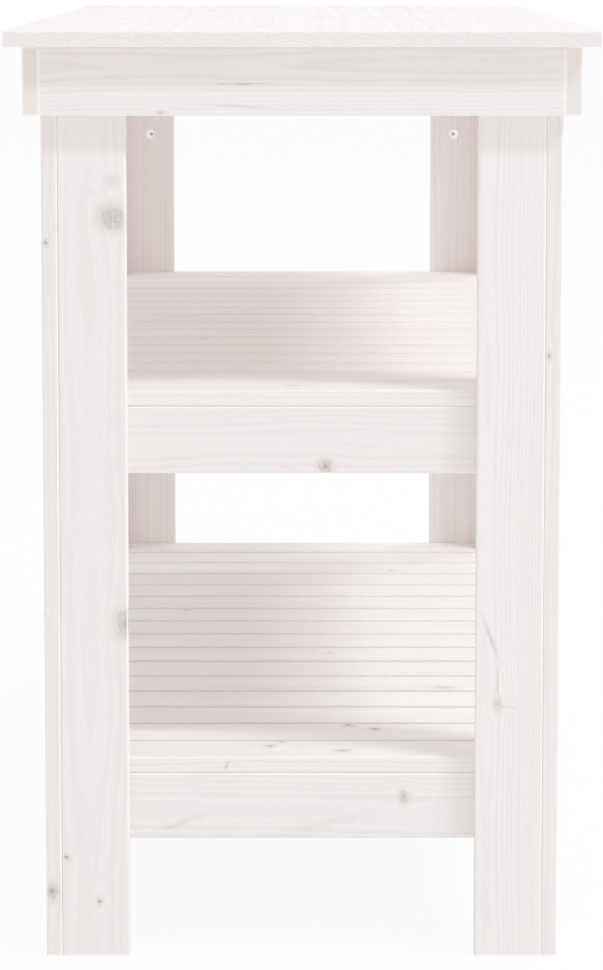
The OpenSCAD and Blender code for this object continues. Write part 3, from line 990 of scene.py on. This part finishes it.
def random_knots(name):
    """A few knots along a board that the picture doesn't show, clear of its edges."""
    length, width, _ = lie_of(name)[2]
    share = 0.0 if name in CLEAR_BOARDS or "_slat_" in name else 1.0
    count = int(share * (2 * length / MM * KNOTS_PER_METRE + draw.random()))
    found = []
    for _ in range(count):
        place = (draw.uniform(-0.9, 0.9) * length, draw.uniform(-0.7, 0.7) * width, 0.0)
        radius = draw.uniform(3.0, 8.0)
        found.append(knot(place, radius, long=draw.uniform(1.0, 1.6), depth=draw.uniform(0.4, 1.0),
                          dark=draw.uniform(0.2, 1.0), crack=draw.uniform(0.0, 0.4)))
    return found


def lamp_side_shade(name):
    """How much of the darker, warmer wash a board gets at least, from where it stands: painted shade where
    the lamps light it most.
    """
    if "side" in name or "rail" in name:
        return 0.9
    return 0.45 if "near" in name else 0.0


for name in FLAT_WOOD:
    if name == "tabletop":
        continue
    own_marks = random_knots(name)
    pith = (0.0, draw.uniform(-22.0, 22.0), draw.choice((-1, 1)) * draw.uniform(16.0, 46.0))
    width = draw.uniform(2.6, 4.4)
    seed = draw.uniform(0.0, 60.0)
    marks = photographed.get(name, own_marks)
    # Slat 16 gets some painted light along its edges, and the other slats get none
    if name.endswith("slat_16"):
        pine(name, seed, pith, width, draw.uniform(0.0, 0.1), marks, edge_light=0.5)
    # The other slats have darker narrow sides
    elif "_slat_" in name:
        pine(name, seed, pith, width, draw.uniform(0.0, 0.1), marks, edge_light=0.0, sawn=1.0)
    else:
        # Painted shade from where the board stands, and a random tone of its own
        pine(name, seed, pith, width, lamp_side_shade(name) + draw.uniform(0.0, 0.4), marks)
print("boards with their own wood:", len(FLAT_WOOD) - 1)

# %% Lay the worktop's wood
top_marks = [
    knot((-246, -100, 0), 9.0, depth=0.7, dark=0.5),
    knot((-246, 112, 0), 8.0, dark=0.4),
    knot((169, 118, 0), 8.0, dark=0.5),
    knot((229, 166, 0), 6.0, dark=0.5),
    knot((405, -34, 0), 7.0, dark=0.6),
    knot((-60, -212, 0), 6.0, dark=0.7),
    knot((60, 20, 0), 9.0, dark=0.4),
    knot((-420, 40, 0), 7.0, dark=0.6),
    knot((330, -160, 0), 8.0, dark=0.5),
    knot((-380, 215, 0), 6.0, dark=0.6),
]
# The worktop's darker, warmer wash starts at 0.65 as painted shade on its brightly lit top, and each strip
# adds a random tone of its own
pine("tabletop", 4.0, (0.0, 20.0, -30.0), 3.4, 0.65, top_marks, strips=STRIPS)
print("worktop laid from", STRIPS, "strips with", len(top_marks), "knots")

# %% [markdown]
# ## Steel
#
# Screws and bolts are zinc-plated: pale grey and fairly dull, with a faint mottle where the plating is
# thicker. Metal has no colour of its own to paint, so the mottle goes into its tint and its roughness.
#
# The slats were screwed down before the wash, so a thin coat lies over their screws, and less of the metal
# shows. The barrel nuts are turned from bright steel, so the two that show on the far legs look nearly
# white. The dimple in the middle of each is darker. One function makes all three kinds, because only tint,
# shine and the share of metal differ.

# %% Three kinds of steel for the fasteners
MOTTLE_SIZE_MM = (2.2, 2.2, 2.2)
SCRATCH_SIZE_MM = (0.25, 3.0, 0.25)
NUT_FACE_MM = 509.5
# A darker colour in the dimple of each barrel nut
DIMPLE_DARK = srgb(186, 180, 178)


def steel_finish(title, light, dark, dullness, scratches, metallic=1.0, dimple=0.0):
    """Mottled steel between two tints, with fine scratches in its roughness and perhaps a dark dimple."""
    steel = bpy.data.materials.new(title)
    steel.use_nodes = True
    tree = steel.node_tree
    shader = tree.nodes["Principled BSDF"]
    shader.inputs["Metallic"].default_value = metallic
    coordinates = add_node(tree, "ShaderNodeTexCoord", "place on the bench")
    in_mm = vector_maths(tree, "MULTIPLY", coordinates.outputs["Object"], (MM, MM, MM))
    mottle = rise(tree, grain_noise(tree, in_mm, MOTTLE_SIZE_MM, detail=3.0), 0.35, 0.65)
    scratch = grain_noise(tree, in_mm, SCRATCH_SIZE_MM, detail=2.0)
    axes = add_node(tree, "ShaderNodeSeparateXYZ", "depth along the bench")
    feed(tree, axes.inputs[0], in_mm)
    # Darker where the steel lies deeper than the nut's face, in its dimple
    deep = maths(tree, "ABSOLUTE", axes.outputs["X"])
    deep = maths(tree, "MULTIPLY", rise(tree, deep, NUT_FACE_MM + 0.2, NUT_FACE_MM + 0.8), dimple)
    tint = mix_colour(tree, deep, mix_colour(tree, mottle, light, dark), DIMPLE_DARK)
    feed(tree, shader.inputs["Base Color"], tint)
    feed(tree, shader.inputs["Roughness"], maths(tree, "MULTIPLY_ADD", scratch, scratches, dullness))
    return steel


dull_zinc = steel_finish("dull zinc plating", srgb(222, 221, 220), srgb(200, 200, 202), 0.30, 0.25)
washed_zinc = steel_finish(
    "zinc under a thin wash", srgb(236, 230, 227), srgb(222, 215, 212), 0.45, 0.20, metallic=0.25
)
bright_steel = steel_finish(
    "bright turned steel", srgb(255, 250, 248), srgb(250, 244, 242), 0.02, 0.10, dimple=1.0
)
special = {"slat_screws": washed_zinc, "leg_barrel_nuts": bright_steel}
for name in boards:
    if name not in FLAT_WOOD:
        steel = special.get(name, dull_zinc)
        dress(name, steel)
        print(name, "is", steel.name)
